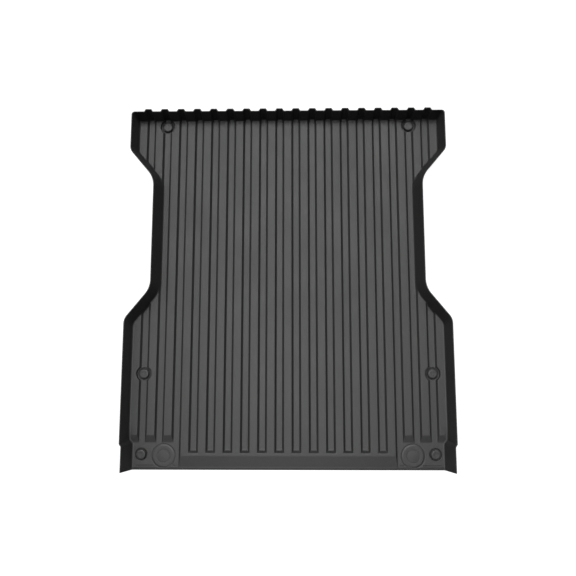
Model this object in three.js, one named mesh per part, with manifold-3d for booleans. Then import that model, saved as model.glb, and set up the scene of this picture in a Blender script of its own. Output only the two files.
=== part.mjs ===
// Drop-in truck bed liner: one moulded, corrugated pan with low side and front
// walls, six capped hold-down points and two flush round access covers.
// Frame: millimetres, +X to the right-hand wheelhouse, +Y towards the front
// bulkhead, +Z up. The origin is below the middle of the pan, on the plane that
// the pan stands on. The tailgate end (-Y) has no wall.

import * as THREE from 'three';
import { mergeVertices } from 'three/addons/utils/BufferGeometryUtils.js';
import Module from 'manifold-3d';

// ---------- driving dimensions ----------
const REAR_Y = -872;            // tail edge of the floor
const RIM_Z = 98;               // top of the walls
const FLOOR_T = 6;              // moulded floor thickness
const WALL_T = 5;               // wall thickness, measured level
const RIB_H = 12;               // plateau above groove
const LOW_Z = FLOOR_T;          // top face of a groove
const HIGH_Z = LOW_Z + RIB_H;   // top face of a plateau

const PITCH = 81;               // groove to groove
const GROOVES = 18;             // seen across the full width
const GR_LOW = 14;              // half width of a groove at its bottom
const GR_RUN = 8;               // level run of a groove's side
const GR_HIGH = GR_LOW + GR_RUN;

// plan of the rim's outer edge, right half, tail to front
const TAIL_X = 766.8;           // last stretch beside the tailgate
const JOG_Y0 = -756, JOG_Y1 = -745;
const SIDE_X = 773.5;           // behind the wheelhouse
const FORE_X = 772.2;           // ahead of the wheelhouse
const WAIST_X = 653.4;          // between the wheelhouses
const REAR_DIAG = [-168.7, -20.2];  // Y where the rear slant starts and ends
const FRONT_DIAG = [521.2, 662.7];
const FRONT_Y = 860;            // front wall's outer plane at the rim
// level distance from the rim's outer edge in to the wall's foot at plateau level
const LEAN = {
  tail: 27.8, jog: 26, side: 24, rearSlant: 28.4, waist: 28.7, foreSlant: 27.2, fore: 23.7, front: 19.3,
};

// corrugation of the front wall (plan)
const CH_DEPTH = RIB_H;         // channel depth
const CH_PLANE = 18.5;          // half width where it leaves the wall's plane
const CH_BACK = 11.5;           // half width at its back

// tail end
const GROOVE_END = [-782, -794];      // groove 4..15: bottom end, top end
const RAMP = [-807, -859];            // ramp from plateau level to groove level; it runs on to the tail edge
const LIP_Y = -855, LIP_Z = 3;        // corner pads' sill lip: where it starts, its height at the tail edge
const STRIP_X = 5 * PITCH + 108.5;    // half width of the raised centre block
const PAD_END_HIGH = -712, PAD_END_LOW = -745;  // plateaus die away into the corner pads

// hold-down points: x, y
const HOLD = {
  front_left: [-607.5, 811.5], front_right: [607.5, 811.5],
  middle_left: [-688.5, -425], middle_right: [688.5, -425],
  rear_left: [-691.5, -800], rear_right: [691.5, -800],
};
const POCKET_LOW = 33, POCKET_HIGH = 36.5;    // radii of the round pocket
const MOAT_R = [24.2, 29], MOAT_Z = 2.4;      // ring groove round the cap's seat
const HOLE_R = 8.6;                           // hole for the bush

// access covers
const COVER = { left: [-586.5, -808], right: [586.5, -808] };
const COVER_R = 54.5;           // counterbore radius
const COVER_HOLE_R = 45;        // through hole radius
const COVER_LEDGE_Z = 1.6;
const DISH_R = 58, DISH_Z = 4.6; // the pan dishes down to the counterbore from this radius

const CLEAR = 0.3;              // gap between neighbouring pieces
const SEG = 16;                 // facets of the small round pieces
const COVER_SEG = 28;

// ---------- materials ----------
const liner = new THREE.MeshStandardMaterial({ color: 0x1b1b1b, roughness: 0.72, metalness: 0 });
const capMat = new THREE.MeshStandardMaterial({ color: 0x1f1f1f, roughness: 0.6, metalness: 0 });
const steel = new THREE.MeshStandardMaterial({ color: 0xb9bcc0, roughness: 0.35, metalness: 1 });
const rubber = new THREE.MeshStandardMaterial({ color: 0x101010, roughness: 0.85, metalness: 0 });

// ---------- boolean helpers ----------
const wasm = await Module();
wasm.setup();

function solid(geometry) {
  let g = geometry.clone();
  g.deleteAttribute('normal');
  g.deleteAttribute('uv');
  g = mergeVertices(g, 1e-4);
  return new wasm.Manifold(new wasm.Mesh({
    numProp: 3,
    vertProperties: new Float32Array(g.attributes.position.array),
    triVerts: new Uint32Array(g.index.array),
  }));
}

function geometryOf(manifold) {
  const m = manifold.getMesh();
  const g = new THREE.BufferGeometry();
  const p = new Float32Array((m.vertProperties.length / m.numProp) * 3);
  for (let i = 0, j = 0; i < m.vertProperties.length; i += m.numProp, j += 3) {
    p[j] = m.vertProperties[i];
    p[j + 1] = m.vertProperties[i + 1];
    p[j + 2] = m.vertProperties[i + 2];
  }
  g.setAttribute('position', new THREE.BufferAttribute(p, 3));
  g.setIndex(new THREE.BufferAttribute(new Uint32Array(m.triVerts), 1));
  g.computeVertexNormals();
  return g;
}

// Closed loft through level rings. Each ring is { z, pts: [[x, y], ...] }, with
// the same number of points, anticlockwise seen from above, lowest ring first.
function loft(rings) {
  const n = rings[0].pts.length;
  const pos = [];
  for (const r of rings) for (const [x, y] of r.pts) pos.push(x, y, r.z);
  const idx = [];
  for (let k = 0; k + 1 < rings.length; k++) {
    for (let i = 0; i < n; i++) {
      const j = (i + 1) % n;
      const a = k * n + i, b = k * n + j, c = (k + 1) * n + j, d = (k + 1) * n + i;
      idx.push(a, b, c, a, c, d);
    }
  }
  const cap = (ring) => THREE.ShapeUtils.triangulateShape(ring.pts.map(([x, y]) => new THREE.Vector2(x, y)), []);
  for (const [a, b, c] of cap(rings[0])) idx.push(a, c, b);
  const o = (rings.length - 1) * n;
  for (const [a, b, c] of cap(rings[rings.length - 1])) idx.push(o + a, o + b, o + c);
  const g = new THREE.BufferGeometry();
  g.setAttribute('position', new THREE.BufferAttribute(new Float32Array(pos), 3));
  g.setIndex(idx);
  return g;
}

const rect = (x0, x1, y0, y1) => [[x0, y0], [x1, y0], [x1, y1], [x0, y1]];
const circle = (cx, cy, r, n) => {
  const out = [];
  for (let i = 0; i < n; i++) {
    const a = (2 * Math.PI * (i + 0.5)) / n;
    out.push([cx + r * Math.cos(a), cy + r * Math.sin(a)]);
  }
  return out;
};

// ---------- wall outline ----------
// Corners of the right half with the lean of the stretch that follows each, the
// corner's radius at the rim's outer edge and its number of facets.
const corners = [
  { p: [TAIL_X, REAR_Y - 40], lean: LEAN.tail },
  { p: [TAIL_X, JOG_Y0], lean: LEAN.jog, r: 4, n: 2 },
  { p: [SIDE_X, JOG_Y1], lean: LEAN.side, r: 4, n: 2 },
  { p: [SIDE_X, REAR_DIAG[0]], lean: LEAN.rearSlant, r: 65, n: 5 },
  { p: [WAIST_X, REAR_DIAG[1]], lean: LEAN.waist, r: 110, n: 6 },
  { p: [WAIST_X, FRONT_DIAG[0]], lean: LEAN.foreSlant, r: 110, n: 6 },
  { p: [FORE_X, FRONT_DIAG[1]], lean: LEAN.fore, r: 50, n: 5 },
  { p: [FORE_X, FRONT_Y], lean: LEAN.front, r: 16, n: 4 },
];

// Outline moved inwards by inward(lean) on each stretch, with its corners rounded.
// A corner's radius shrinks inwards where the wall turns in and grows where it turns out.
function outline(inward) {
  const edges = corners.map((c, i) => {
    const q = i + 1 < corners.length ? corners[i + 1].p : [-FORE_X, FRONT_Y];
    const dx = q[0] - c.p[0], dy = q[1] - c.p[1], l = Math.hypot(dx, dy);
    const d = inward(c.lean);
    const nx = -dy / l, ny = dx / l;    // inward, for a path that runs anticlockwise
    return { x: c.p[0] + nx * d, y: c.p[1] + ny * d, ux: dx / l, uy: dy / l, d };
  });
  const cross = (a, b) => {
    const det = a.ux * b.uy - a.uy * b.ux;
    const t = ((b.x - a.x) * b.uy - (b.y - a.y) * b.ux) / det;
    return [a.x + a.ux * t, a.y + a.uy * t];
  };
  const half = [[edges[0].x, REAR_Y - 40]];
  for (let i = 1; i < edges.length; i++) {
    const a = edges[i - 1], b = edges[i];
    const v = cross(a, b);
    const turn = Math.atan2(a.ux * b.uy - a.uy * b.ux, a.ux * b.ux + a.uy * b.uy);
    const d = (a.d + b.d) / 2;
    const r = turn > 0 ? Math.max(corners[i].r - 0.6 * d, 2.5) : corners[i].r + 0.6 * d;
    const t = r * Math.tan(Math.abs(turn) / 2);
    const s = Math.sign(turn);
    const cx = v[0] - a.ux * t - a.uy * r * s, cy = v[1] - a.uy * t + a.ux * r * s;
    const a0 = Math.atan2(v[1] - a.uy * t - cy, v[0] - a.ux * t - cx);
    const n = corners[i].n;
    for (let k = 0; k <= n; k++) {
      const w = a0 + (turn * k) / n;
      half.push([cx + r * Math.cos(w), cy + r * Math.sin(w)]);
    }
  }
  const left = half.map(([x, y]) => [-x, y]).reverse();
  return [...half, ...left];
}

// level inset of the wall's inner and outer faces at height z
const slopeRun = (lean) => (lean - WALL_T) / (RIM_Z - HIGH_Z);
const innerInset = (z) => (lean) => WALL_T + slopeRun(lean) * (RIM_Z - z);
const outerInset = (z) => (lean) => slopeRun(lean) * (RIM_Z - z);
const innerRing = (z) => ({ z, pts: outline(innerInset(z)) });
const outerRing = (z) => ({ z, pts: outline(outerInset(z)) });
// front wall's planes at height z
const frontInner = (z) => FRONT_Y - innerInset(z)(LEAN.front);
const frontOuter = (z) => FRONT_Y - outerInset(z)(LEAN.front);

// offset of the sheet's other face at a sloping side (run over RIB_H)
function sheetShift(run, t) {
  const l = Math.hypot(run, RIB_H);
  return { across: (t * RIB_H) / l, deep: (t * run) / l };
}

// ---------- grooves and front channels ----------
const grooveX = (i) => (i - (GROOVES - 1) / 2) * PITCH;
const isCentre = (i) => i >= 3 && i <= GROOVES - 4;

// A groove's own volume: top face (inner) or underside (outer).
function grooveVolume(i, inner) {
  const x = grooveX(i);
  const sh = sheetShift(GR_RUN, FLOOR_T);
  const half = (z) => {
    if (inner) return GR_LOW + (GR_RUN * (z - LOW_Z)) / RIB_H;
    return GR_LOW + GR_RUN / 2 + sh.across + (GR_RUN / RIB_H) * (z - (RIB_H / 2 + LOW_Z - sh.deep));
  };
  const z0 = inner ? LOW_Z : 0, z1 = inner ? HIGH_Z : RIB_H;
  const rear = (z) => {
    if (!isCentre(i)) return REAR_Y - 30;
    const run = GROOVE_END[0] - GROOVE_END[1];
    const s = sheetShift(run, FLOOR_T);
    const off = inner ? 0 : s.across + (s.deep * run) / RIB_H;
    return GROOVE_END[0] - (run * (z - LOW_Z)) / RIB_H - off;
  };
  const end = inner ? frontInner : frontOuter;
  const ring = (z) => ({ z, pts: rect(x - half(z), x + half(z), rear(z), end(z) + 1) });
  return solid(loft([ring(z0), ring(z1 + 1)]));
}

// A channel up the front wall: air side (inner) or the rib behind it (outer).
function channelVolume(i, inner) {
  const x = grooveX(i);
  const run = CH_PLANE - CH_BACK;
  const s = sheetShift(run, WALL_T);
  const wPlane = inner ? CH_PLANE : CH_BACK + run / 2 + s.across - (run / RIB_H) * (WALL_T - (RIB_H / 2 + s.deep));
  const wBack = inner ? CH_BACK : wPlane - run;
  const plane = inner ? frontInner : frontOuter;
  const ring = (z, w0, w1) => {
    const y = plane(z);
    return { z, pts: [[x - w0, y - 3], [x + w0, y - 3], [x + w0, y], [x + w1, y + CH_DEPTH], [x - w1, y + CH_DEPTH], [x - w0, y]] };
  };
  const z0 = inner ? LOW_Z : 0, z1 = inner ? HIGH_Z : RIB_H;
  const top = inner ? RIM_Z + 1 : RIM_Z;
  return solid(loft([ring(z0, wBack + 0.01, wBack), ring(z1, wPlane, wBack), ring(top, wPlane, wBack)]));
}

// ---------- tail end ----------
// Centre block's ramp: profile in (y, z), right across between the corner pads.
function rampVolume(inner) {
  const slope = (RAMP[0] - RAMP[1]) / RIB_H;
  const yAt = (z) => RAMP[1] + (z - LOW_Z) * slope;       // top face of the ramp
  if (inner) {
    // it falls on past groove level to the tail edge, beside the pads' lip
    const zEnd = LOW_Z + (REAR_Y - RAMP[1]) / slope;
    const low = (z) => ({ z, pts: rect(-STRIP_X, STRIP_X, REAR_Y - 30, yAt(z)) });
    const ring = (z) => ({ z, pts: rect(-STRIP_X - 30, STRIP_X + 30, REAR_Y - 30, yAt(z)) });
    return solid(loft([low(zEnd), low(LOW_Z + 0.2)])).add(solid(loft([ring(LOW_Z), ring(HIGH_Z + 1)])));
  }
  // underside: the same ramp, one floor thickness lower
  const yOut = (z) => RAMP[1] + (z + FLOOR_T - LOW_Z) * slope;
  const ring = (z) => ({ z, pts: rect(-STRIP_X - 30, STRIP_X + 30, REAR_Y - 30, yOut(z)) });
  return solid(loft([ring(0), ring(RIB_H + 1)]));
}

// Corner pads at groove level, from the first three grooves out to the wall.
function padVolume(side, inner) {
  const sh = sheetShift(GR_RUN, FLOOR_T);
  const xc = grooveX(GROOVES - 3);
  const inX = (z) => inner
    ? xc - (GR_LOW + (GR_RUN * (z - LOW_Z)) / RIB_H)
    : xc - (GR_LOW + GR_RUN / 2 + sh.across + (GR_RUN / RIB_H) * (z - (RIB_H / 2 + LOW_Z - sh.deep)));
  const run = PAD_END_HIGH - PAD_END_LOW;
  const yAt = (z) => inner
    ? PAD_END_LOW + ((z - LOW_Z) * run) / RIB_H
    : PAD_END_LOW + (z * run) / RIB_H + 2.5;
  const z0 = inner ? LOW_Z : 0, z1 = (inner ? HIGH_Z : RIB_H) + 1;
  const ring = (z) => {
    const a = inX(z), b = SIDE_X + 20;
    return { z, pts: side > 0 ? rect(a, b, REAR_Y - 30, yAt(z)) : rect(-b, -a, REAR_Y - 30, yAt(z)) };
  };
  return solid(loft([ring(z0), ring(z1)]));
}

// The corner pads' lip falls to the tail edge.
function lipVolume(side) {
  const slope = (LIP_Y - REAR_Y) / (LOW_Z - LIP_Z);
  const a = STRIP_X - 1, b = SIDE_X + 20;
  const ring = (z) => {
    const y = REAR_Y + (z - LIP_Z) * slope;
    return { z, pts: side > 0 ? rect(a, b, REAR_Y - 30, y) : rect(-b, -a, REAR_Y - 30, y) };
  };
  return solid(loft([ring(LIP_Z), ring(LOW_Z + 0.2)]));
}

// ---------- hold-down seats ----------
function pocketVolume([x, y], inner) {
  if (inner) {
    return solid(loft([
      { z: LOW_Z, pts: circle(x, y, POCKET_LOW, SEG) },
      { z: HIGH_Z + 1, pts: circle(x, y, POCKET_HIGH + 0.3, SEG) },
    ]));
  }
  return solid(loft([
    { z: 0, pts: circle(x, y, POCKET_LOW + 4.6, SEG) },
    { z: RIB_H + 1, pts: circle(x, y, POCKET_HIGH + 5.1, SEG) },
  ]));
}

// ---------- the pan ----------
function buildPan() {
  const box = solid(loft([
    { z: 0, pts: rect(-900, 900, REAR_Y, 900) },
    { z: RIM_Z, pts: rect(-900, 900, REAR_Y, 900) },
  ]));

  // outer envelope
  const outerLow = solid(loft([outerRing(-1), outerRing(RIB_H + 2)]));
  let feet = grooveVolume(0, false);
  for (let i = 1; i < GROOVES; i++) feet = feet.add(grooveVolume(i, false));
  feet = feet.add(rampVolume(false)).add(padVolume(1, false)).add(padVolume(-1, false));
  for (const k in HOLD) feet = feet.add(pocketVolume(HOLD[k], false));
  feet = feet.intersect(outerLow);
  let outer = solid(loft([outerRing(RIB_H), outerRing(RIM_Z)])).add(feet);
  for (let i = 0; i < GROOVES; i++) outer = outer.add(channelVolume(i, false));
  outer = outer.intersect(box);

  // air inside
  const innerLow = solid(loft([innerRing(LIP_Z - 1.5), innerRing(HIGH_Z + 1)]));
  let lows = grooveVolume(0, true);
  for (let i = 1; i < GROOVES; i++) lows = lows.add(grooveVolume(i, true));
  lows = lows.add(rampVolume(true)).add(padVolume(1, true)).add(padVolume(-1, true));
  lows = lows.add(lipVolume(1)).add(lipVolume(-1));
  for (const k in HOLD) lows = lows.add(pocketVolume(HOLD[k], true));
  lows = lows.intersect(innerLow);
  let air = solid(loft([innerRing(HIGH_Z), innerRing(RIM_Z + 1)])).add(lows);
  for (let i = 0; i < GROOVES; i++) air = air.add(channelVolume(i, true));

  let pan = outer.subtract(air);

  // seats, moats and holes of the hold-down points
  for (const k in HOLD) {
    const [x, y] = HOLD[k];
    const moat = solid(loft([
      { z: MOAT_Z, pts: circle(x, y, MOAT_R[1] - 0.8, SEG) },
      { z: LOW_Z + 0.5, pts: circle(x, y, MOAT_R[1], SEG) },
    ])).subtract(solid(loft([
      { z: MOAT_Z - 1, pts: circle(x, y, MOAT_R[0] + 0.5, SEG) },
      { z: LOW_Z + 1, pts: circle(x, y, MOAT_R[0], SEG) },
    ])));
    const hole = solid(loft([
      { z: -1, pts: circle(x, y, HOLE_R, SEG) },
      { z: LOW_Z + 1, pts: circle(x, y, HOLE_R, SEG) },
    ]));
    pan = pan.subtract(moat).subtract(hole);
  }
  // stepped holes of the access covers
  for (const k in COVER) {
    const [x, y] = COVER[k];
    pan = pan.subtract(solid(loft([
      { z: COVER_LEDGE_Z, pts: circle(x, y, COVER_R, COVER_SEG) },
      { z: LOW_Z + 1, pts: circle(x, y, COVER_R, COVER_SEG) },
    ]))).subtract(solid(loft([
      { z: DISH_Z, pts: circle(x, y, COVER_R, COVER_SEG) },
      { z: 2 * LOW_Z - DISH_Z, pts: circle(x, y, 2 * DISH_R - COVER_R, COVER_SEG) },
    ]))).subtract(solid(loft([
      { z: -1, pts: circle(x, y, COVER_HOLE_R, COVER_SEG) },
      { z: LOW_Z, pts: circle(x, y, COVER_HOLE_R, COVER_SEG) },
    ])));
  }
  return geometryOf(pan);
}

// ---------- turned pieces ----------
// Closed (r, z) profile turned about the vertical axis at (x, y). The facets
// line up with the faceted holes they sit in.
function turned(profile, n) {
  const pts = profile.map(([r, z]) => new THREE.Vector2(r, z));
  if (profile[0][0] > 1e-6) pts.push(pts[0].clone());
  const g = new THREE.LatheGeometry(pts, n);
  g.rotateX(Math.PI / 2);
  g.rotateZ(Math.PI / 2 + Math.PI / n);
  return g;
}

const group = new THREE.Group();
function add(name, geometry, material, x = 0, y = 0) {
  const mesh = new THREE.Mesh(geometry, material);
  mesh.name = name;
  mesh.position.set(x, y, 0);
  group.add(mesh);
}

add('liner_pan', buildPan(), liner);

// seal, bush and cap of one hold-down point
const SEAL_Z = [LOW_Z + CLEAR, LOW_Z + CLEAR + 1.2];
const FLANGE_Z = [SEAL_Z[1] + CLEAR, SEAL_Z[1] + CLEAR + 1.8];
const CAP_TOP = 16.2;
const sealProfile = [[HOLE_R + 0.3, SEAL_Z[0]], [16.5, SEAL_Z[0]], [16.5, SEAL_Z[1]], [HOLE_R + 0.3, SEAL_Z[1]]];
const bushProfile = [
  [5.3, CLEAR], [HOLE_R - CLEAR, CLEAR], [HOLE_R - CLEAR, FLANGE_Z[0]],
  [18, FLANGE_Z[0]], [18, FLANGE_Z[1]], [5.3, FLANGE_Z[1]],
];
const capProfile = [
  [19, LOW_Z + CLEAR], [23.2, LOW_Z + CLEAR], [23.2, CAP_TOP - 2.6], [20.4, CAP_TOP - 0.6],
  [17, CAP_TOP], [0, CAP_TOP], [0, CAP_TOP - 2.2], [17.5, CAP_TOP - 2.4], [19, CAP_TOP - 3.6],
];
function closedLathe(profile, n) {
  // starts and ends on the axis, in order round the section
  const i0 = profile.findIndex(([r]) => r === 0);
  const turnedList = [...profile.slice(i0 + 1), ...profile.slice(0, i0 + 1)];
  const pts = turnedList.map(([r, z]) => new THREE.Vector2(r, z));
  const g = new THREE.LatheGeometry(pts, n);
  g.rotateX(Math.PI / 2);
  g.rotateZ(Math.PI / 2 + Math.PI / n);
  return g;
}
for (const k in HOLD) {
  const [x, y] = HOLD[k];
  add(`${k}_bush_seal`, turned(sealProfile, SEG), rubber, x, y);
  add(`${k}_bush`, turned(bushProfile, SEG), steel, x, y);
  add(`${k}_cap`, closedLathe(capProfile, SEG), capMat, x, y);
}

// access cover: plate, shallow ring on its face, and a plug skirt in the hole
const CS_Z = [COVER_LEDGE_Z + CLEAR, COVER_LEDGE_Z + CLEAR + 1.0];
const PLATE_Z = CS_Z[1] + CLEAR;
const coverSeal = [[COVER_HOLE_R + 0.6, CS_Z[0]], [COVER_R - 0.8, CS_Z[0]], [COVER_R - 0.8, CS_Z[1]], [COVER_HOLE_R + 0.6, CS_Z[1]]];
const coverProfile = [
  [42.4, 0.5], [COVER_HOLE_R - CLEAR - 0.1, 0.5], [COVER_HOLE_R - CLEAR - 0.1, PLATE_Z], [COVER_R - 0.5, PLATE_Z],
  [COVER_R - 0.5, DISH_Z - 0.2], [COVER_R - 2.5, DISH_Z], [47, LOW_Z + 0.1],
  [31, LOW_Z + 0.1], [30.4, LOW_Z - 0.5], [28.8, LOW_Z - 0.5], [28.2, LOW_Z + 0.1],
  [0, LOW_Z + 0.1], [0, PLATE_Z], [42.4, PLATE_Z],
];
for (const k in COVER) {
  const [x, y] = COVER[k];
  add(`${k}_cover_seal`, turned(coverSeal, COVER_SEG), rubber, x, y);
  add(`${k}_access_cover`, closedLathe(coverProfile, COVER_SEG), capMat, x, y);
}

export default group;
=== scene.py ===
import bpy, bmesh, math
import numpy as np
from mathutils import Matrix, Vector
from mathutils.geometry import delaunay_2d_cdt


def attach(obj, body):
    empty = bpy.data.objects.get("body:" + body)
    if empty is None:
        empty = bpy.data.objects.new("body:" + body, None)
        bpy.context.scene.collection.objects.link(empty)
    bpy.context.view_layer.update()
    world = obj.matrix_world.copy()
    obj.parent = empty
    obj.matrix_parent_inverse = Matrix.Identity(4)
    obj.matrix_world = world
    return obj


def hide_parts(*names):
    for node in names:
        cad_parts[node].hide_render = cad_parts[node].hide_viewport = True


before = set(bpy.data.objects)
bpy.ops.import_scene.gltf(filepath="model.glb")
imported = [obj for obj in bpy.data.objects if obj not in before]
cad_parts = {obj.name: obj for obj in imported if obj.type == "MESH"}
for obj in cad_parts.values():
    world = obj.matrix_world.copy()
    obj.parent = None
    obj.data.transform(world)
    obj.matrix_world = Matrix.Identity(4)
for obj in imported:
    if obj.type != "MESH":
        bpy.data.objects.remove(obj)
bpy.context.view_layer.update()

# ------------------------------------------------------------------ sizes, mm
REAR_Y, RIM_Z = -872.0, 98.0
LOW, HIGH, RIB = 6.0, 18.0, 12.0
WALL_T = 5.0
PITCH, GROOVES = 81.0, 18
GR_LOW, GR_HIGH = 14.0, 22.0            # half widths, top face
GU_LOW, GU_HIGH = 17.2, 25.2            # half widths, underside
LEAN = dict(tail=27.8, jog=26.0, side=24.0, rear_slant=28.4, waist=28.7, fore_slant=27.2, fore=23.7, front=19.3)
HOLD = {
    "front_left": (-607.5, 811.5), "front_right": (607.5, 811.5),
    "middle_left": (-688.5, -425.0), "middle_right": (688.5, -425.0),
    "rear_left": (-691.5, -800.0), "rear_right": (691.5, -800.0),
}
COVER = {"left": (-586.5, -808.0), "right": (586.5, -808.0)}
FRONT_Y = 860.0
FOLD_Y, FOLD_W = -851.4, 1.9            # fold line across each corner pad
STRIP_X = 5 * 81 + 108.5              # half width of the raised centre block
R_IN, R_OUT = 9.0, 13.0                 # fillets at the foot of the walls
E_IN, E_OUT = 10.0, 15.0                # how far the wall strips run in past the foot
GX = [(i - (GROOVES - 1) / 2) * PITCH for i in range(GROOVES)]
CENTRE = range(3, GROOVES - 3)


# ------------------------------------------------------------------ floor heights
W, W_PAD, W_RAMP = 0.27, 0.12, 0.06     # how rounded the shoulders of the slopes are


def soft(t, w=W):
    """0..1 ramp with rounded shoulders"""
    t = np.asarray(t, float)
    out = np.clip(t, 0, 1)
    a = (t > -w) & (t < w)
    out = np.where(a, (t + w) ** 2 / (4 * w), out)
    b = (t > 1 - w) & (t < 1 + w)
    return np.where(b, 1 - (1 - t + w) ** 2 / (4 * w), out)


def unsoft(v, w):
    """the t at which soft(t, w) is v"""
    if v < w:
        return 2 * math.sqrt(w * v) - w
    if v > 1 - w:
        return 1 + w - 2 * math.sqrt(w * (1 - v))
    return v


def bend(t, w):
    """0 below 0, t above, rounded over 2w"""
    return np.where(t > w, t, np.where(t < -w, 0.0, (t + w) ** 2 / (4 * w)))


def smin(a, b, k=0.3):
    h = np.clip(k - np.abs(a - b), 0, None) / k
    return np.minimum(a, b) - h * h * k / 4


def smax(a, b, k=0.3):
    return -smin(-a, -b, k)


def depth(x, y, under=False):
    """how far down between plateau (0) and groove (1) level the sheet is"""
    lo, hi = (GU_LOW, GU_HIGH) if under else (GR_LOW, GR_HIGH)
    ax = np.abs(x)
    # nearest groove
    gi = np.clip(np.round(x / PITCH + (GROOVES - 1) / 2), 0, GROOVES - 1)
    gx = (gi - (GROOVES - 1) / 2) * PITCH
    u = np.abs(x - gx)
    tx = (hi - u) / (hi - lo)
    if under:
        ty = (y + 796.5) / 12.0
    else:
        ty = (y + 794.0) / 12.0
    centre = (gi >= 3) & (gi <= GROOVES - 4)
    d = soft(np.where(centre, smin(tx, ty), tx))
    # corner pads
    edge = GX[GROOVES - 3]
    tx = (ax - (edge - hi)) / (hi - lo)
    ty = ((-709.5 if under else -712.0) - y) / 33.0
    d = np.maximum(d, np.minimum(soft(tx), soft(ty, W_PAD)))
    # tail ramp
    d = np.maximum(d, soft((-807.0 - y) / 52.0, W_RAMP))
    # round pockets
    r1, r0 = (41.0, 37.5) if under else (36.5, 33.0)
    for (hx, hy) in HOLD.values():
        r = np.hypot(x - hx, y - hy)
        d = np.maximum(d, soft((r1 - r) / (r1 - r0)))
    return d


def top_z(x, y):
    z = HIGH - RIB * depth(x, y)
    for (hx, hy) in HOLD.values():
        r = np.hypot(x - hx, y - hy)
        t = np.minimum((r - 23.8) / 1.3, (29.9 - r) / 3.4)
        z = z - 3.5 * soft(t, 0.15)
    ax = np.abs(x)
    # the sill lip falls away to the tail edge
    pad = np.clip((ax - 504.0) / 9.0, 0, 1)
    drop = bend(-858.5 - y, 1.2) * 0.22 * pad + bend(-863.0 - y, 1.0) * 0.33 * (1 - pad)
    for (cx, cy) in COVER.values():
        r = np.hypot(x - cx, y - cy)
        drop = np.minimum(drop, 1.24 + 0.35 * np.clip(r - 54.9, 0, None))
        # dished down to the cover
        drop = np.maximum(drop, 1.4 * soft((58.0 - r) / 3.5))
    z = z - drop
    # fold line across each corner pad, just ahead of the sill lip
    t = np.minimum((FOLD_W - np.abs(y - FOLD_Y)) / 1.4, np.minimum((ax - 520) / 8, (722 - ax) / 8))
    for (cx, cy) in COVER.values():
        t = np.minimum(t, (np.hypot(x - cx, y - cy) - 60.5) / 3)
    z = z - 1.5 * soft(t)
    return z


def under_z(x, y):
    return RIB - RIB * depth(x, y, True)


def edge_round(y, r):
    t = np.clip(y - REAR_Y, 0, r)
    return r - np.sqrt(r * r - (r - t) ** 2)


# ------------------------------------------------------------------ wall outline
CORN = [
    dict(p=(765.3, REAR_Y), lean=LEAN["tail"]),
    dict(p=(765.3, -756.0), lean=LEAN["jog"], r=7, n=4),
    dict(p=(773.5, -745.0), lean=LEAN["side"], r=7, n=4),
    dict(p=(773.5, -168.7), lean=LEAN["rear_slant"], r=65, n=12),
    dict(p=(653.4, -20.2), lean=LEAN["waist"], r=110, n=16),
    dict(p=(653.4, 521.2), lean=LEAN["fore_slant"], r=110, n=16),
    dict(p=(772.2, 662.7), lean=LEAN["fore"], r=50, n=12),
    dict(p=(772.2, FRONT_Y), lean=LEAN["front"], r=16, n=9),
]


def front_stations():
    xs = set()
    for g in GX:
        for s in (-1, 1):
            for u in (0, 5, 9, 10.2, 11, 11.8, 12.6, 13.4, 14.2, 15, 16, 17, 18, 18.8, 19.6, 20.4, 21.2, 22, 23, 24.2, 25.6, 27.5):
                xs.add(round(g + s * u, 3))
        xs.add(round(g + PITCH / 2, 3))
    for s in (-1, 1):
        for x in np.arange(570, 646, 2.0):
            if all(abs(abs(v) - x) > 0.8 for v in xs):
                xs.add(round(s * float(x), 3))
    xs = sorted(v for v in xs if abs(v) <= 732)
    return xs


FRONT_X = front_stations()
EDGE_SUB = [None, 2, 15, 64, 14, 64, 6, None]
TAIL_STEPS = [0.0, 0.1, 0.3, 0.6, 1.0, 1.3, 5.0, 9.0, 12.3, 13.5, 14.7, 17.0, 22.0, 30.0, 60.0, 90.0]
EDGE_R = 1.2


def slope_run(lean):
    return (lean - WALL_T) / (RIM_Z - HIGH)


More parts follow.
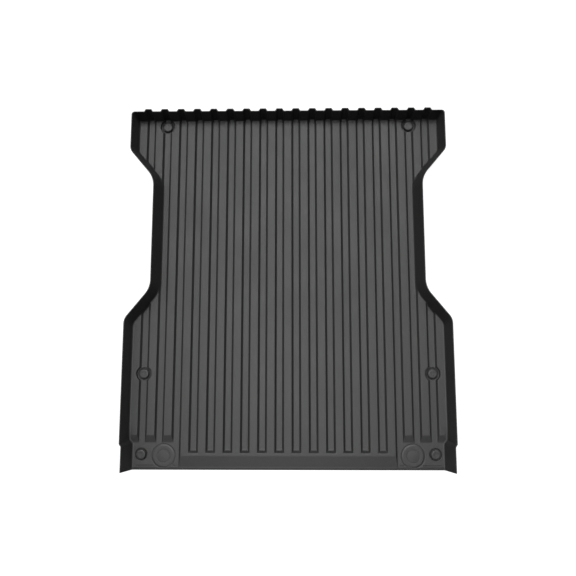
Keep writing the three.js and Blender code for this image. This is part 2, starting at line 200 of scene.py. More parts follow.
def path(inward):
    """Stations of the right half, tail to the first front station, for walls moved in by inward(lean).
    Returns points and each station's lean."""
    E = []
    for i, c in enumerate(CORN):
        q = CORN[i + 1]["p"] if i + 1 < len(CORN) else (-772.2, FRONT_Y)
        dx, dy = q[0] - c["p"][0], q[1] - c["p"][1]
        l = math.hypot(dx, dy)
        d = inward(c["lean"])
        E.append(dict(x=c["p"][0] - dy / l * d, y=c["p"][1] + dx / l * d, ux=dx / l, uy=dy / l, d=d, lean=c["lean"]))
    pts, leans = [], []
    start = None
    x0 = E[0]["x"]
    prev_end = (x0, REAR_Y)
    arcs = []
    for i in range(1, len(E)):
        a, b = E[i - 1], E[i]
        det = a["ux"] * b["uy"] - a["uy"] * b["ux"]
        t = ((b["x"] - a["x"]) * b["uy"] - (b["y"] - a["y"]) * b["ux"]) / det
        v = (a["x"] + a["ux"] * t, a["y"] + a["uy"] * t)
        turn = math.atan2(det, a["ux"] * b["ux"] + a["uy"] * b["uy"])
        d = (a["d"] + b["d"]) / 2
        c = CORN[i]
        r = max(c["r"] - 0.6 * d, 4.0) if turn > 0 else c["r"] + 0.6 * d
        tl = r * math.tan(abs(turn) / 2)
        s = 1 if turn > 0 else -1
        p0 = (v[0] - a["ux"] * tl, v[1] - a["uy"] * tl)
        cx, cy = p0[0] - a["uy"] * r * s, p0[1] + a["ux"] * r * s
        a0 = math.atan2(p0[1] - cy, p0[0] - cx)
        arc = []
        for k in range(c["n"] + 1):
            w = a0 + turn * k / c["n"]
            arc.append(((cx + r * math.cos(w), cy + r * math.sin(w)), a["lean"] + (b["lean"] - a["lean"]) * k / c["n"]))
        arcs.append(arc)
    # first edge
    for st in TAIL_STEPS:
        pts.append((x0, REAR_Y + st)); leans.append(E[0]["lean"])
    for i, arc in enumerate(arcs):
        p0 = pts[-1]
        p1 = arc[0][0]
        if i > 0:
            n = EDGE_SUB[i]
            for k in range(1, n):
                f = k / n
                pts.append((p0[0] + (p1[0] - p0[0]) * f, p0[1] + (p1[1] - p0[1]) * f)); leans.append(E[i]["lean"])
        for (p, ln) in arc:
            pts.append(p); leans.append(ln)
    return pts, leans


def corr(x, w, outer):
    """forward offset of the front wall's corrugation at height w on the wall"""
    gi = np.clip(np.round(x / PITCH + (GROOVES - 1) / 2), 0, GROOVES - 1)
    u = np.abs(x - (gi - (GROOVES - 1) / 2) * PITCH)
    f = np.clip((outer * 1.0), 0, 1)
    back = 11.5 + 2.9 * f
    plane = 18.5 + 2.9 * f
    # narrows into the floor's groove
    z0, z1 = LOW - 6 * f, HIGH - 6 * f
    s = np.clip((w - z0) / (z1 - z0), 0, 1)
    plane = back + (plane - back) * (0.35 + 0.65 * s)
    return RIB * soft((plane - u) / (plane - back))


def ring(inward, w, outer, fade=0.0):
    """full plan curve of a profile row, right tail to left tail. Returns xy, lean, corrugation left out by the fade."""
    pts, leans = path(inward)
    right = np.array(pts)
    ln_r = np.array(leans)
    xs = np.array(FRONT_X)[::-1]
    yf = FRONT_Y - inward(LEAN["front"])
    c = corr(xs, w, outer)
    front = np.column_stack([xs, yf + c * (1 - fade)])
    ln_f = np.full(len(xs), LEAN["front"])
    left = right[::-1] * np.array([-1, 1])
    xy = np.vstack([right, front, left])
    lost = np.concatenate([np.zeros(len(right)), c * fade, np.zeros(len(right))])
    return xy, np.concatenate([ln_r, ln_f, ln_r[::-1]]), lost


def fillet(d, k, zf, R, off):
    """height of a wall line (top at inset off, slope 1/k) blended by radius R into level zf, at inset d"""
    th = np.arctan2(1.0, k)
    T = R * np.tan(th / 2)
    dint = off + k * (RIM_Z - zf)
    d2 = dint + T
    d1 = dint - T * np.cos(th)
    wall = RIM_Z - (d - off) / k
    arc = zf + R - np.sqrt(np.clip(R * R - (d2 - d) ** 2, 0, None))
    return np.where(d <= d1, wall, np.where(d >= d2, zf, arc))


def strip():
    """the walls: rows of points from the floor's top edge, up, over the rim, down and in to the underside's edge"""
    rows = []
    for e in [E_IN, 9, 8, 7, 6, 5, 4, 3, 2, 1, 0]:
        ins = lambda lean, e=e: WALL_T + slope_run(lean) * (RIM_Z - LOW) + e
        xy, ln, lost = ring(ins, LOW, 0.0, fade=e / E_IN)
        k = (ln - WALL_T) / (RIM_Z - HIGH)
        d = WALL_T + k * (RIM_Z - LOW) + e + lost
        z = fillet(d, k, top_z(xy[:, 0], xy[:, 1]), R_IN, WALL_T)
        rows.append(np.column_stack([xy, z]))
    for w in [8, 10, 12, 14, 16, 18, 20, 22, 24, 26.5, 36, 50, 65, 80, 90, 95.2]:
        ins = lambda lean, w=w: WALL_T + slope_run(lean) * (RIM_Z - w)
        xy, ln, lost = ring(ins, w, 0.0)
        k = (ln - WALL_T) / (RIM_Z - HIGH)
        d = WALL_T + k * (RIM_Z - w)
        z = fillet(d, k, top_z(xy[:, 0], xy[:, 1]), R_IN, WALL_T)
        rows.append(np.column_stack([xy, z]))
    rim_first = len(rows)
    for (t, z, o) in [(5.05, 96.5, 0.0), (4.5, 97.35, 0.1), (3.6, 97.88, 0.3), (2.6, 98.0, 0.5), (1.6, 97.9, 0.7), (0.75, 97.4, 0.85), (0.25, 96.55, 0.95)]:
        ins = lambda lean, t=t: t
        xy, ln, lost = ring(ins, 98, o)
        rows.append(np.column_stack([xy, np.full(len(xy), z)]))
    for w in [95.2, 90, 80, 65, 50, 36, 27, 24, 21, 18, 15, 12, 9.5, 7, 4.5, 2, 0]:
        ins = lambda lean, w=w: slope_run(lean) * (RIM_Z - w)
        xy, ln, lost = ring(ins, w, 1.0)
        k = (ln - WALL_T) / (RIM_Z - HIGH)
        d = k * (RIM_Z - w)
        z = fillet(d, k, under_z(xy[:, 0], xy[:, 1]), R_OUT, 0.0)
        rows.append(np.column_stack([xy, z]))
    for e in [1, 2, 3.5, 5, 6.5, 8, 9.5, 11, 12.5, E_OUT]:
        ins = lambda lean, e=e: slope_run(lean) * RIM_Z + e
        xy, ln, lost = ring(ins, 0, 1.0, fade=e / E_OUT)
        k = (ln - WALL_T) / (RIM_Z - HIGH)
        d = k * RIM_Z + e + lost
        z = fillet(d, k, under_z(xy[:, 0], xy[:, 1]), R_OUT, 0.0)
        rows.append(np.column_stack([xy, z]))
    G = np.array(rows)                       # rows x stations x 3
    # round over the two tail ends: move the section in along its own normal
    n = len(TAIL_STEPS)
    T = np.gradient(G, axis=0)
    for j in range(n):
        q = edge_round(REAR_Y + TAIL_STEPS[j], EDGE_R)
        for col, sgn in ((j, 1.0), (G.shape[1] - 1 - j, -1.0)):
            t = T[:, col, [0, 2]]
            t = t / (np.linalg.norm(t, axis=1, keepdims=True) + 1e-12)
            k = np.ones(len(t)); k[0] = k[-1] = 0.0
            G[:, col, 0] += t[:, 1] * sgn * q * k
            G[:, col, 2] -= t[:, 0] * sgn * q
    return G


# ------------------------------------------------------------------ floor sheets
def inside(poly, pts):
    x, y = pts[:, 0], pts[:, 1]
    res = np.zeros(len(pts), bool)
    a = poly
    b = np.roll(poly, -1, axis=0)
    for (x0, y0), (x1, y1) in zip(a, b):
        if y0 == y1:
            continue
        c = (y0 > y) != (y1 > y)
        xi = (x1 - x0) * (y - y0) / (y1 - y0) + x0
        res ^= c & (x < xi)
    return res


def near(poly, pts, dist):
    a = poly
    b = np.roll(poly, -1, axis=0)
    ab = b - a
    L2 = (ab ** 2).sum(1)
    L2[L2 == 0] = 1e-12
    out = np.zeros(len(pts), bool)
    for s in range(0, len(pts), 2000):
        p = pts[s:s + 2000]
        t = np.clip(((p[:, None] - a[None]) * ab[None]).sum(2) / L2[None], 0, 1)
        q = a[None] + ab[None] * t[..., None]
        out[s:s + 2000] = (((p[:, None] - q) ** 2).sum(2) < dist * dist).any(1)
    return out


def floor_sheet(bound, height, under):
    """triangulated sheet inside the closed plan curve bound (first and last points on the tail edge)"""
    verts = [tuple(p) for p in bound]
    nb = len(bound)
    edges = [(i, i + 1) for i in range(nb - 1)]
    lo, hi = (GU_LOW, GU_HIGH) if under else (GR_LOW, GR_HIGH)
    run = hi - lo
    ts = [-W, -W / 2, 0, W / 2, W, 1 - W, 1 - W / 2, 1, 1 + W / 2, 1 + W] if not under else [-W, 0, W, 1 - W, 1, 1 + W]
    holes = [(c, 9.0 if not under else 8.6) for c in HOLD.values()] + [(c, 54.9 if not under else 45.0) for c in COVER.values()]
    keep_out = [(c, (38.6 if not under else 43.0)) for c in HOLD.values()] + [(c, 60.0 if not under else 47.5) for c in COVER.values()]
    around = lambda w: [-w, -w / 2, 0, w / 2, w, 0.3, 0.5, 0.7, 1 - w, 1 - w / 2, 1, 1 + w / 2, 1 + w]
    segs_h = 64 if not under else 40
    # tail edge stations
    xr = bound[0][0]
    tail_x = [x for x in np.linspace(-xr, xr, 61)[1:-1]]
    base = len(verts)
    verts += [(x, REAR_Y) for x in tail_x]
    chain = [nb - 1] + list(range(base, base + len(tail_x))) + [0]
    edges += list(zip(chain[:-1], chain[1:]))
    poly = np.array(bound)
    lines = []                                # (points, clip by keep-outs)
    ysteps = lambda y0, y1, s: list(np.linspace(y0, y1, max(2, int(abs(y1 - y0) / s) + 1)))
    for i, g in enumerate(GX):
        y0 = -799.0 if i in CENTRE else -749.0
        for s in (-1, 1):
            for t in ts:
                x = g + s * (hi - t * run)
                lines.append(([(x, y) for y in ysteps(y0, 845, 30)], True))
        lines.append(([(g, y) for y in ysteps(y0, 845, 30)], True))
    for j in range(GROOVES - 1):
        x = (GX[j] + GX[j + 1]) / 2
        lines.append(([(x, y) for y in ysteps(-800, 845, 30)], True))
    # rear ends of the centre grooves
    yend = (-796.5 if under else -794.0)
    for i in CENTRE:
        g = GX[i]
        for t in ts:
            y = yend + t * 12.0
            lines.append(([(g + v, y) for v in np.linspace(-hi - 3, hi + 3, 13)], True))
    # plateaus dying away into the pads, and the pads' inner edges
    y1 = -709.5 if under else -712.0
    inner = GX[GROOVES - 3] - hi
    for s in (-1, 1):
        for t in around(W_PAD):
            y = y1 - t * 33.0
            lines.append(([(s * v, y) for v in np.linspace(inner + 2, 745, 60)], True))
        for t in ts:
            x = s * (inner + t * run)
            lines.append(([(x, y) for y in ysteps(-750, -866, 8)], True))
    # mitres where the grooves' sides meet the slopes into the pads, and the pads' inner edges meet the ramp
    mitre = (0.001, 0.01, 0.04, 0.1, 0.2, 0.35, 0.5, 0.65, 0.8, 0.9, 0.96, 0.99, 0.999)
    for i, g in enumerate(GX):
        if i not in CENTRE:
            for s in (-1, 1):
                lines.append(([(g + s * (hi - unsoft(v, W) * run), y1 - unsoft(v, W_PAD) * 33.0) for v in mitre], True))
    for s in (-1, 1):
        lines.append(([(s * (inner + unsoft(v, W) * run), -807.0 - unsoft(v, W_RAMP) * 52.0) for v in mitre], True))
    # ramp
    for t in around(W_RAMP)[:-2]:
        y = -807.0 - t * 52.0
        lines.append(([(v, y) for v in np.linspace(-inner - 2, inner + 2, 50)], True))
    if not under:
        for s in (-1, 1):
            for dy in (-2.3, -1.9, -1.2, -0.5, 0, 0.5, 1.2, 1.9, 2.3):
                lines.append(([(s * v, FOLD_Y + dy) for v in np.linspace(516, 726, 60)], True))
        for y in (-857.3, -858.5, -859.7, -862.0, -863.0, -864.0):
            lines.append(([(v, y) for v in np.linspace(-726, 726, 90)], True))
    for st in TAIL_STEPS[1:6] + [3.4]:
        lines.append(([(v, REAR_Y + st) for v in np.linspace(-xr, xr, 61)], False))
    # round features
    rad = [37.6, 36.5, 35.6, 34.75, 33.9, 33.0, 32.0, 31.2, 30.4, 29.9, 29.4, 28.2, 27.0, 26.5, 26.0, 25.3, 24.9, 24.0, 23.6, 22.6, 16.0] if not under else [42.0, 41.0, 40.1, 38.4, 37.5, 36.5, 20.0]
    if not under:
        for c in COVER.values():
            for r in (59.0, 58.5, 58.0, 57.5, 57.0, 56.2):
                lines.append(([(c[0] + r * math.cos(a), c[1] + r * math.sin(a)) for a in np.linspace(0, 2 * math.pi, 97)], False))
    for c in HOLD.values():
        for r in rad:
            lines.append(([(c[0] + r * math.cos(a), c[1] + r * math.sin(a)) for a in np.linspace(0, 2 * math.pi, segs_h + 1)], False))
    hole_loops = []
    for (c, r), n in zip(holes, [48] * len(HOLD) + [96] * len(COVER)):
        base = len(verts)
        verts += [(c[0] + r * math.cos(2 * math.pi * k / n), c[1] + r * math.sin(2 * math.pi * k / n)) for k in range(n)]
        edges += [(base + k, base + (k + 1) % n) for k in range(n)]
        hole_loops.append((c, r, n))
    # clip all the lines: clear of the boundary, of the holes and of the keep-out discs
    def clear(P, clip):
        ok = inside(poly, P) & ~near(poly, P, 1.3)
        for (c, r) in keep_out:
            ok &= ~(clip & (np.hypot(P[:, 0] - c[0], P[:, 1] - c[1]) < r))
        for (c, r) in holes:
            ok &= ~(np.hypot(P[:, 0] - c[0], P[:, 1] - c[1]) < r + 1.2)
        return ok

    # a point at the middle of each disc crossing, so that no segment jumps across one
    full = []
    for li, (pts, clip) in enumerate(lines):
        for k, p in enumerate(pts):
            if clip and k:
                a_, b_ = np.array(pts[k - 1]), np.array(p)
                ab = b_ - a_
                L = float(np.dot(ab, ab))
                extra = []
                for (c, r) in keep_out:
                    t = float(np.dot(np.array(c) - a_, ab)) / max(L, 1e-9)
                    if 0.02 < t < 0.98 and np.hypot(*(a_ + ab * t - np.array(c))) < r:
                        extra.append(t)
                for t in sorted(extra):
                    full.append((li, clip, tuple(a_ + ab * t)))
            full.append((li, clip, (float(p[0]), float(p[1]))))
    P = np.array([f[2] for f in full])
    LI = np.array([f[0] for f in full])
    CL = np.array([f[1] for f in full])
    ok = clear(P, CL)
    cut = np.nonzero((LI[1:] == LI[:-1]) & (ok[1:] != ok[:-1]))[0]
    good = np.where(ok[cut][:, None], P[cut], P[cut + 1])
    bad = np.where(ok[cut][:, None], P[cut + 1], P[cut])
    for _ in range(9):
        mid = (good + bad) / 2
        m = clear(mid, CL[cut])
        good = np.where(m[:, None], mid, good)
        bad = np.where(m[:, None], bad, mid)
    ends = {int(k): g for k, g in zip(cut, good)}
    prev = None
    for k in range(len(P)):
        if ok[k]:
            verts.append((float(P[k, 0]), float(P[k, 1])))
            cur = len(verts) - 1
            if prev is not None and LI[k] == LI[k - 1]:
                edges.append((prev, cur))
            prev = cur
            if k in ends and np.hypot(*(ends[k] - P[k])) > 0.4:
                verts.append((float(ends[k][0]), float(ends[k][1])))
                edges.append((cur, len(verts) - 1))
        else:
            prev = None
            if k in ends and np.hypot(*(ends[k] - P[k + 1])) > 0.4:
                verts.append((float(ends[k][0]), float(ends[k][1])))
                prev = len(verts) - 1
    co, ed, fa, ov, oe, of_ = delaunay_2d_cdt([Vector(v) for v in verts], edges, [], 0, 1e-4)
    V = np.array([(v[0], v[1]) for v in co])
    F = [tuple(f) for f in fa]
    T = np.array([f for f in F if len(f) == 3])
    cen = V[T].mean(1)
    k = inside(poly, cen)
    for (c, r) in holes:
        k &= np.hypot(cen[:, 0] - c[0], cen[:, 1] - c[1]) > r * 0.999
    T = T[k]
    z = height(V[:, 0], V[:, 1])
    if not under:
        z = z - edge_round(V[:, 1], EDGE_R)
    else:
        z = z + edge_round(V[:, 1], EDGE_R)
    for (c, r, n) in hole_loops:
        rim = np.abs(np.hypot(V[:, 0] - c[0], V[:, 1] - c[1]) - r) < 1e-3
        z[rim] = 0.0 if under else (LOW if r < 20 else 4.76)
    return np.column_stack([V, z]), T, hole_loops


def lathe_loops(c, prof, n):
    """open band of rings (r, z) about c, returns verts, quads"""
    vs, fs = [], []
    for (r, z) in prof:
        for k in range(n):
            a = 2 * math.pi * k / n
            vs.append((c[0] + r * math.cos(a), c[1] + r * math.sin(a), z))
    for j in range(len(prof) - 1):
        for k in range(n):
            a, b = j * n + k, j * n + (k + 1) % n
            fs.append((a, b, b + n, a + n))
    return vs, fs


def make_pan():
    G = strip()
    nr, ns = G.shape[:2]
    verts, faces = [], []

    def put(vs, fs, flip=False):
        o = len(verts)
        verts.extend([tuple(v) for v in vs])
        for f in fs:
            f = tuple(o + i for i in f)
            faces.append(f[::-1] if flip else f)
        return o

    quads = []
    for j in range(nr - 1):
        for i in range(ns - 1):
            a = j * ns + i
            quads.append((a, a + 1, a + ns + 1, a + ns))
    put(G.reshape(-1, 3), quads)
    # tail caps of the walls: between the strip's first and last rows
    for i in (0, ns - 1):
        loop = [j * ns + i for j in range(nr)]
        faces.append(tuple(loop if i == 0 else loop[::-1]))
    top_b = G[0]
    bot_b = G[-1]
    tv, tf, th = floor_sheet([(p[0], p[1]) for p in top_b], top_z, False)
    # the boundary's heights come from the strip, so the two sheets weld
    def weld(V, edge):
        key = {(round(p[0], 3), round(p[1], 3)): p[2] for p in edge}
        for i in range(len(V)):
            z = key.get((round(V[i, 0], 3), round(V[i, 1], 3)))
            if z is not None:
                V[i, 2] = z
    weld(tv, top_b)
    put(tv, [tuple(t) for t in tf])
    bv, bf, bh = floor_sheet([(p[0], p[1]) for p in bot_b], under_z, True)
    weld(bv, bot_b)
    put(bv, [tuple(t[::-1]) for t in bf])
    # tail edge face between top and underside
    def tail_row(V, edge):
        r = [tuple(v) for v in V if abs(v[1] - REAR_Y) < 1e-3]
        return sorted(set((round(v[0], 4), round(v[1], 4), round(v[2], 4)) for v in r))
    a = tail_row(tv, top_b)
    b = tail_row(bv, bot_b)
    o = len(verts)
    verts.extend(a)
    verts.extend(b)
    faces.append(tuple(list(range(o + len(a), o + len(a) + len(b))) + list(range(o + len(a) - 1, o - 1, -1))))
    # walls of the holes
    for c in HOLD.values():
        vs, fs = lathe_loops(c, [(9.0, 6.0), (8.72, 5.9), (8.6, 5.6), (8.6, 0.0)], 48)
        put(vs, fs)
    for c in COVER.values():
        vs, fs = lathe_loops(c, [(54.9, 4.76), (54.6, 4.6), (54.5, 4.3), (54.5, 1.6), (45.4, 1.6), (45.1, 1.5), (45.0, 1.2), (45.0, 0.0)], 96)
        put(vs, fs)
    bm = bmesh.new()
    bv_ = [bm.verts.new((v[0] / 1000, v[1] / 1000, v[2] / 1000)) for v in verts]
    bm.verts.ensure_lookup_table()
    for f in faces:
        try:
            bm.faces.new([bv_[i] for i in f])
        except ValueError:
            pass
    bmesh.ops.remove_doubles(bm, verts=bm.verts, dist=2e-6)
    bmesh.ops.dissolve_degenerate(bm, dist=1e-7, edges=bm.edges)
    big = [f for f in bm.faces if len(f.verts) > 4]
    bmesh.ops.triangulate(bm, faces=big)
    bmesh.ops.recalc_face_normals(bm, faces=bm.faces)
    open_edges = [e for e in bm.edges if not e.is_manifold]
    print("pan: verts", len(bm.verts), "faces", len(bm.faces), "open or shared edges", len(open_edges))
    for e in open_edges[:12]:
        print("   ", [tuple(round(c * 1000, 2) for c in v.co) for v in e.verts], len(e.link_faces))
    me = bpy.data.meshes.new("liner_pan_fine")
    bm.to_mesh(me)
    vol = bm.calc_volume(signed=True)
    print("pan volume", vol)
    bm.free()
    ob = bpy.data.objects.new("moulded_pan", me)
    bpy.context.scene.collection.objects.link(ob)
    for p in me.polygons:
        p.use_smooth = True
    me.set_sharp_from_angle(angle=math.radians(50))
    m = ob.modifiers.new("normals", "WEIGHTED_NORMAL")
    m.mode = "FACE_AREA"
    m.weight = 60
    m.keep_sharp = True
    return ob


# ------------------------------------------------------------------ turned pieces
def turned(name, centre, prof, n=96, smooth=40):
    """closed section (r, z) in mm, turned about the vertical through centre"""
    bm = bmesh.new()
    rings = []
    for (r, z) in prof:
        if r < 1e-6:
            rings.append([bm.verts.new((centre[0] / 1000, centre[1] / 1000, z / 1000))])
        else:
            rings.append([bm.verts.new(((centre[0] + r * math.cos(2 * math.pi * k / n)) / 1000, (centre[1] + r * math.sin(2 * math.pi * k / n)) / 1000, z / 1000)) for k in range(n)])
    m = len(prof)
    for j in range(m):
        a, b = rings[j], rings[(j + 1) % m]
        if len(a) == 1 and len(b) == 1:
            continue
        for k in range(n):
            q = (k + 1) % n
            if len(a) == 1:
                bm.faces.new((a[0], b[q], b[k]))
            elif len(b) == 1:
                bm.faces.new((a[k], a[q], b[0]))
            else:
                bm.faces.new((a[k], a[q], b[q], b[k]))
    bmesh.ops.recalc_face_normals(bm, faces=bm.faces)
    me = bpy.data.meshes.new(name)
    bm.to_mesh(me)
    bm.free()
    ob = bpy.data.objects.new(name, me)
    bpy.context.scene.collection.objects.link(ob)
    for p in me.polygons:
        p.use_smooth = True
    me.set_sharp_from_angle(angle=math.radians(smooth))
    return ob


def rounded(prof, spec):
    """replace corner i of the section by an arc of radius spec[i]"""
    out = []
    n = len(prof)
    for i, p in enumerate(prof):
        r = spec.get(i, 0)
        if not r:
            out.append(p)
            continue
        a, b = np.array(prof[i - 1]), np.array(prof[(i + 1) % n])
        p = np.array(p)
        u, v = (a - p) / np.linalg.norm(a - p), (b - p) / np.linalg.norm(b - p)
        ang = math.acos(max(-1, min(1, float(np.dot(u, v)))))
        t = r / math.tan(ang / 2)
        c = p + (u + v) / np.linalg.norm(u + v) * (r / math.sin(ang / 2))
        s, e = p + u * t, p + v * t
        a0 = math.atan2(s[1] - c[1], s[0] - c[0])
        a1 = math.atan2(e[1] - c[1], e[0] - c[0])
        d = (a1 - a0 + math.pi) % (2 * math.pi) - math.pi
        for k in range(6):
            w = a0 + d * k / 5
            out.append((c[0] + r * math.cos(w), c[1] + r * math.sin(w)))
    return [(float(x), float(y)) for x, y in out]


# ------------------------------------------------------------------ materials
def nodes_of(name):
    m = bpy.data.materials.new(name)
    m.use_nodes = True
    nt = m.node_tree
    for n in list(nt.nodes):
        nt.nodes.remove(n)
    out = nt.nodes.new("ShaderNodeOutputMaterial")
    b = nt.nodes.new("ShaderNodeBsdfPrincipled")
    nt.links.new(b.outputs[0], out.inputs[0])
    return m, nt, b


def polymer(name, base, rough, grain=1.0, spec=0.5, scale=1.0):
    m, nt, b = nodes_of(name)
    N, L = nt.nodes.new, nt.links.new
    geo = N("ShaderNodeTexCoord")
    # leather-like pebble grain: cells a couple of millimetres across, with a finer tooth on them
    v = N("ShaderNodeTexVoronoi")
    v.feature = "SMOOTH_F1"
    v.inputs["Scale"].default_value = 520 * scale
    v.inputs["Smoothness"].default_value = 0.55
    v.inputs["Randomness"].default_value = 1.0
    L(geo.outputs["Object"], v.inputs["Vector"])
    fine = N("ShaderNodeTexNoise")
    fine.inputs["Scale"].default_value = 1600 * scale
    fine.inputs["Detail"].default_value = 3
    L(geo.outputs["Object"], fine.inputs["Vector"])
    wide = N("ShaderNodeTexNoise")
    wide.inputs["Scale"].default_value = 5.0
    wide.inputs["Detail"].default_value = 5
    wide.inputs["Roughness"].default_value = 0.6
    L(geo.outputs["Object"], wide.inputs["Vector"])
    mix = N("ShaderNodeMath"); mix.operation = "MULTIPLY_ADD"
    L(fine.outputs["Fac"], mix.inputs[0]); mix.inputs[1].default_value = 0.35
    L(v.outputs["Distance"], mix.inputs[2])
    bump = N("ShaderNodeBump")
    bump.inputs["Strength"].default_value = 0.55 * grain
    bump.inputs["Distance"].default_value = 0.0005
    L(mix.outputs[0], bump.inputs["Height"])
    L(bump.outputs[0], b.inputs["Normal"])
    # colour: near-black with slow mottling, and the grain's valleys a shade darker
    ramp = N("ShaderNodeMapRange")
    ramp.inputs["From Min"].default_value = 0.3
    ramp.inputs["From Max"].default_value = 0.7
    ramp.inputs["To Min"].default_value = 0.92
    ramp.inputs["To Max"].default_value = 1.08
    L(wide.outputs["Fac"], ramp.inputs["Value"])
    cell = N("ShaderNodeMapRange")
    cell.inputs["From Min"].default_value = 0.0
    cell.inputs["From Max"].default_value = 0.6
    cell.inputs["To Min"].default_value = 1.1
    cell.inputs["To Max"].default_value = 0.82
    L(v.outputs["Distance"], cell.inputs["Value"])
    mul = N("ShaderNodeMath"); mul.operation = "MULTIPLY"
    L(ramp.outputs[0], mul.inputs[0]); L(cell.outputs[0], mul.inputs[1])
    col = N("ShaderNodeMix"); col.data_type = "RGBA"; col.blend_type = "MULTIPLY"
    col.inputs["Factor"].default_value = 1.0
    col.inputs[6].default_value = (*base, 1)
    L(mul.outputs[0], col.inputs[7])
    L(col.outputs[2], b.inputs["Base Color"])
    rr = N("ShaderNodeMapRange")
    rr.inputs["From Min"].default_value = 0.3
    rr.inputs["From Max"].default_value = 0.7
    rr.inputs["To Min"].default_value = rough - 0.04
    rr.inputs["To Max"].default_value = rough + 0.05
    L(wide.outputs["Fac"], rr.inputs["Value"])
    L(rr.outputs[0], b.inputs["Roughness"])
    b.inputs["Specular IOR Level"].default_value = spec
    return m


def zinc(name):
    m, nt, b = nodes_of(name)
    N, L = nt.nodes.new, nt.links.new
    geo = N("ShaderNodeTexCoord")
    n1 = N("ShaderNodeTexNoise")
    n1.inputs["Scale"].default_value = 240
    n1.inputs["Detail"].default_value = 4
    L(geo.outputs["Object"], n1.inputs["Vector"])
    v = N("ShaderNodeTexVoronoi")
    v.inputs["Scale"].default_value = 420
    L(geo.outputs["Object"], v.inputs["Vector"])
    r = N("ShaderNodeValToRGB")
    r.color_ramp.elements[0].color = (0.42, 0.44, 0.47, 1)
    r.color_ramp.elements[1].color = (0.72, 0.73, 0.74, 1)
    L(n1.outputs["Fac"], r.inputs[0])
    L(r.outputs[0], b.inputs["Base Color"])
    rr = N("ShaderNodeMapRange")
    rr.inputs["To Min"].default_value = 0.26
    rr.inputs["To Max"].default_value = 0.46
    L(v.outputs["Distance"], rr.inputs["Value"])
    L(rr.outputs[0], b.inputs["Roughness"])
    b.inputs["Metallic"].default_value = 1.0
    bump = N("ShaderNodeBump")
    bump.inputs["Strength"].default_value = 0.2
    bump.inputs["Distance"].default_value = 0.0002
    L(n1.outputs["Fac"], bump.inputs["Height"])
    L(bump.outputs[0], b.inputs["Normal"])
    return m


def foam(name):
    m, nt, b = nodes_of(name)
    N, L = nt.nodes.new, nt.links.new
    geo = N("ShaderNodeTexCoord")
    v = N("ShaderNodeTexVoronoi")
    v.inputs["Scale"].default_value = 1500
    L(geo.outputs["Object"], v.inputs["Vector"])
    r = N("ShaderNodeMapRange")
    r.inputs["To Min"].default_value = 0.010
    r.inputs["To Max"].default_value = 0.026
    L(v.outputs["Distance"], r.inputs["Value"])
    c = N("ShaderNodeCombineColor")
    for i in range(3):
        L(r.outputs[0], c.inputs[i])
    L(c.outputs[0], b.inputs["Base Color"])
    b.inputs["Roughness"].default_value = 0.9
    bump = N("ShaderNodeBump")
    bump.inputs["Strength"].default_value = 0.6
    bump.inputs["Distance"].default_value = 0.0003
    L(v.outputs["Distance"], bump.inputs["Height"])
    L(bump.outputs[0], b.inputs["Normal"])
    return m


PAN = polymer("black_pebble_polymer", (0.044, 0.044, 0.044), 0.46, grain=1.0, spec=0.5)
CAP = polymer("black_cap_polymer", (0.040, 0.040, 0.040), 0.44, grain=0.6, spec=0.5, scale=1.4)
ZINC = zinc("zinc_plate")
FOAM = foam("black_sealing_rubber")

# ------------------------------------------------------------------ pieces
pan = make_pan()
pan.data.materials.append(PAN)
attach(pan, "liner")
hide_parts("liner_pan")

SEAL = [(8.95, 6.3), (16.4, 6.3), (16.4, 7.5), (8.95, 7.5)]
BUSH = [(5.3, 0.3), (8.25, 0.3), (8.25, 7.8), (17.9, 7.8), (17.9, 9.6), (5.3, 9.6)]
CAPP = [(19.1, 6.3), (23.0, 6.3), (23.0, 13.4), (20.2, 15.6), (16.6, 16.2), (9.5, 16.2), (8.6, 15.4), (0, 15.4),
        (0, 14.0), (17.4, 13.8), (19.1, 12.6)]
for k, c in HOLD.items():
    o = turned(f"{k}_seal_ring", c, rounded(SEAL, {0: 0.3, 1: 0.3, 2: 0.3, 3: 0.3}), 72)
    o.data.materials.append(FOAM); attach(o, "liner"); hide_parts(f"{k}_bush_seal")
    o = turned(f"{k}_flanged_bush", c, rounded(BUSH, {0: 0.4, 1: 0.5, 2: 0.3, 3: 0.4, 4: 0.6, 5: 0.5}), 72)
    o.data.materials.append(ZINC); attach(o, "liner"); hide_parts(f"{k}_bush")
    o = turned(f"{k}_pull_cap", c, rounded(CAPP, {0: 0.4, 1: 0.6, 2: 1.6, 3: 2.2, 4: 2.0, 5: 0.5, 6: 0.6, 9: 0.8, 10: 0.6}), 96)
    o.data.materials.append(CAP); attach(o, f"{k}_cap_body"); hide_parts(f"{k}_cap")

CSEAL = [(45.6, 1.9), (53.7, 1.9), (53.7, 2.9), (45.6, 2.9)]
PLATE = [(42.4, 0.5), (44.6, 0.5), (44.6, 3.2), (54.0, 3.2), (54.0, 4.4), (52.0, 4.6), (47.0, 6.1), (31.2, 6.1), (30.6, 5.4),
         (28.6, 5.4), (28.0, 6.1), (0, 6.1), (0, 3.2), (42.4, 3.2)]
for k, c in COVER.items():
    o = turned(f"{k}_cover_gasket", c, rounded(CSEAL, {0: 0.25, 1: 0.25, 2: 0.25, 3: 0.25}), 120)
    o.data.materials.append(FOAM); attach(o, "liner"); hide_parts(f"{k}_cover_seal")
    o = turned(f"{k}_access_plate", c, rounded(PLATE, {0: 0.4, 1: 0.5, 2: 0.3, 3: 0.4, 4: 0.3, 5: 1.5, 6: 5.0, 7: 0.3, 8: 0.25, 9: 0.25, 10: 0.3, 13: 0.5}), 120)
    o.data.materials.append(CAP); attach(o, f"{k}_cover_body"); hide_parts(f"{k}_access_cover")

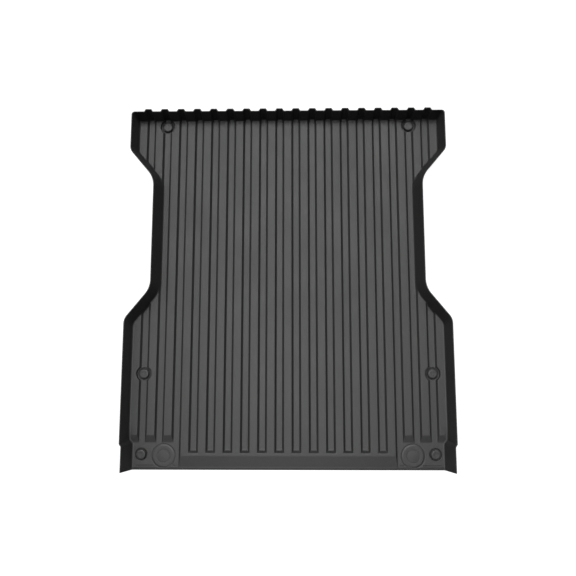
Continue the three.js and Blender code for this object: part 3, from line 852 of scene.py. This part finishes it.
# ------------------------------------------------------------------ camera
F_PX, ELEV, TILT = 599.55, 82.0, 0.82
er, pr = math.radians(ELEV), math.radians(TILT)
right0, up0, back0 = Vector((1, 0, 0)), Vector((0, math.sin(er), math.cos(er))), Vector((0, -math.cos(er), math.sin(er)))
ry = Matrix(((math.cos(pr), 0, math.sin(pr)), (0, 1, 0), (-math.sin(pr), 0, math.cos(pr))))
right, up, back = ry @ right0, ry @ up0, ry @ back0
cd = bpy.data.cameras.new("camera")
cam = bpy.data.objects.new("camera", cd)
bpy.context.scene.collection.objects.link(cam)
cd.sensor_fit = "HORIZONTAL"
cd.sensor_width = 36.0
cd.lens = 36.0 * F_PX / 576.0
cd.clip_start, cd.clip_end = 0.05, 50.0
cd.dof.use_dof = False
M = Matrix.Identity(4)
for i, c in enumerate((right, up, back)):
    M[0][i], M[1][i], M[2][i] = c[0], c[1], c[2]
M.translation = Vector((0.0421, -0.4183, 2.9017))
cam.matrix_world = M
bpy.context.scene.camera = cam

# ------------------------------------------------------------------ floor and light
fl = bpy.data.meshes.new("floor")
s = 14.0
fl.from_pydata([(-s, -s, -0.0005), (s, -s, -0.0005), (s, s, -0.0005), (-s, s, -0.0005)], [], [(0, 1, 2, 3)])
floor = bpy.data.objects.new("floor", fl)
bpy.context.scene.collection.objects.link(floor)
fm, fnt, fb = nodes_of("pale_floor")
fb.inputs["Base Color"].default_value = (0.25, 0.25, 0.25, 1)
fb.inputs["Roughness"].default_value = 0.9
fb.inputs["Specular IOR Level"].default_value = 0.1
fb.inputs["Emission Color"].default_value = (1, 1, 1, 1)
fb.inputs["Emission Strength"].default_value = 0.98
fl.materials.append(fm)
floor.visible_glossy = False             # the floor lights the piece from below but isn't mirrored in it


def soft_light(name, toward, spread, power):
    """a very distant soft source; toward is the direction to it as slopes off the vertical, in degrees"""
    ld = bpy.data.lights.new(name, "SUN")
    ld.energy = power
    ld.angle = math.radians(spread)
    o = bpy.data.objects.new(name, ld)
    bpy.context.scene.collection.objects.link(o)
    d = Vector((math.tan(math.radians(toward[0])), math.tan(math.radians(toward[1])), 1)).normalized()
    o.rotation_euler = (-d).to_track_quat("-Z", "Y").to_euler()
    o.location = d * 4
    return o


soft_light("key_bank", (0, 22), 25, 1.33)
soft_light("top_bank", (0, 11), 25, 0.21)
soft_light("front_fill", (0, 40), 25, 0.13)
soft_light("left_bank", (-40, 10), 40, 0.68)
soft_light("right_bank", (40, 10), 40, 0.23)
# softboxes hung over and behind the tail; they only add their reflection to the moulding
for name, y, power in (("overhead_softbox", -0.6, 16.2), ("rear_softbox", -1.4, 5.4), ("tail_softbox", -3.0, 26.5)):
    ld = bpy.data.lights.new(name, "AREA")
    ld.shape = "RECTANGLE"
    ld.size, ld.size_y, ld.energy = 2.0, 0.8, power
    box = bpy.data.objects.new(name, ld)
    bpy.context.scene.collection.objects.link(box)
    box.location = (0.0, y, 2.8)
    box.visible_diffuse = False
w = bpy.data.worlds.new("studio")
bpy.context.scene.world = w
w.use_nodes = True
bg = w.node_tree.nodes.get("Background") or w.node_tree.nodes.new("ShaderNodeBackground")
bg.inputs[0].default_value = (1, 1, 1, 1)
bg.inputs[1].default_value = 0.9
# a pale backdrop past the floor's edge; the lamps alone light the piece
for kind in ("diffuse", "glossy", "transmission", "scatter"):
    setattr(w.cycles_visibility, kind, False)

vs = bpy.context.scene.view_settings
vs.view_transform = "Standard"
vs.look = "None"
vs.exposure = 0.0
vs.gamma = 1.0
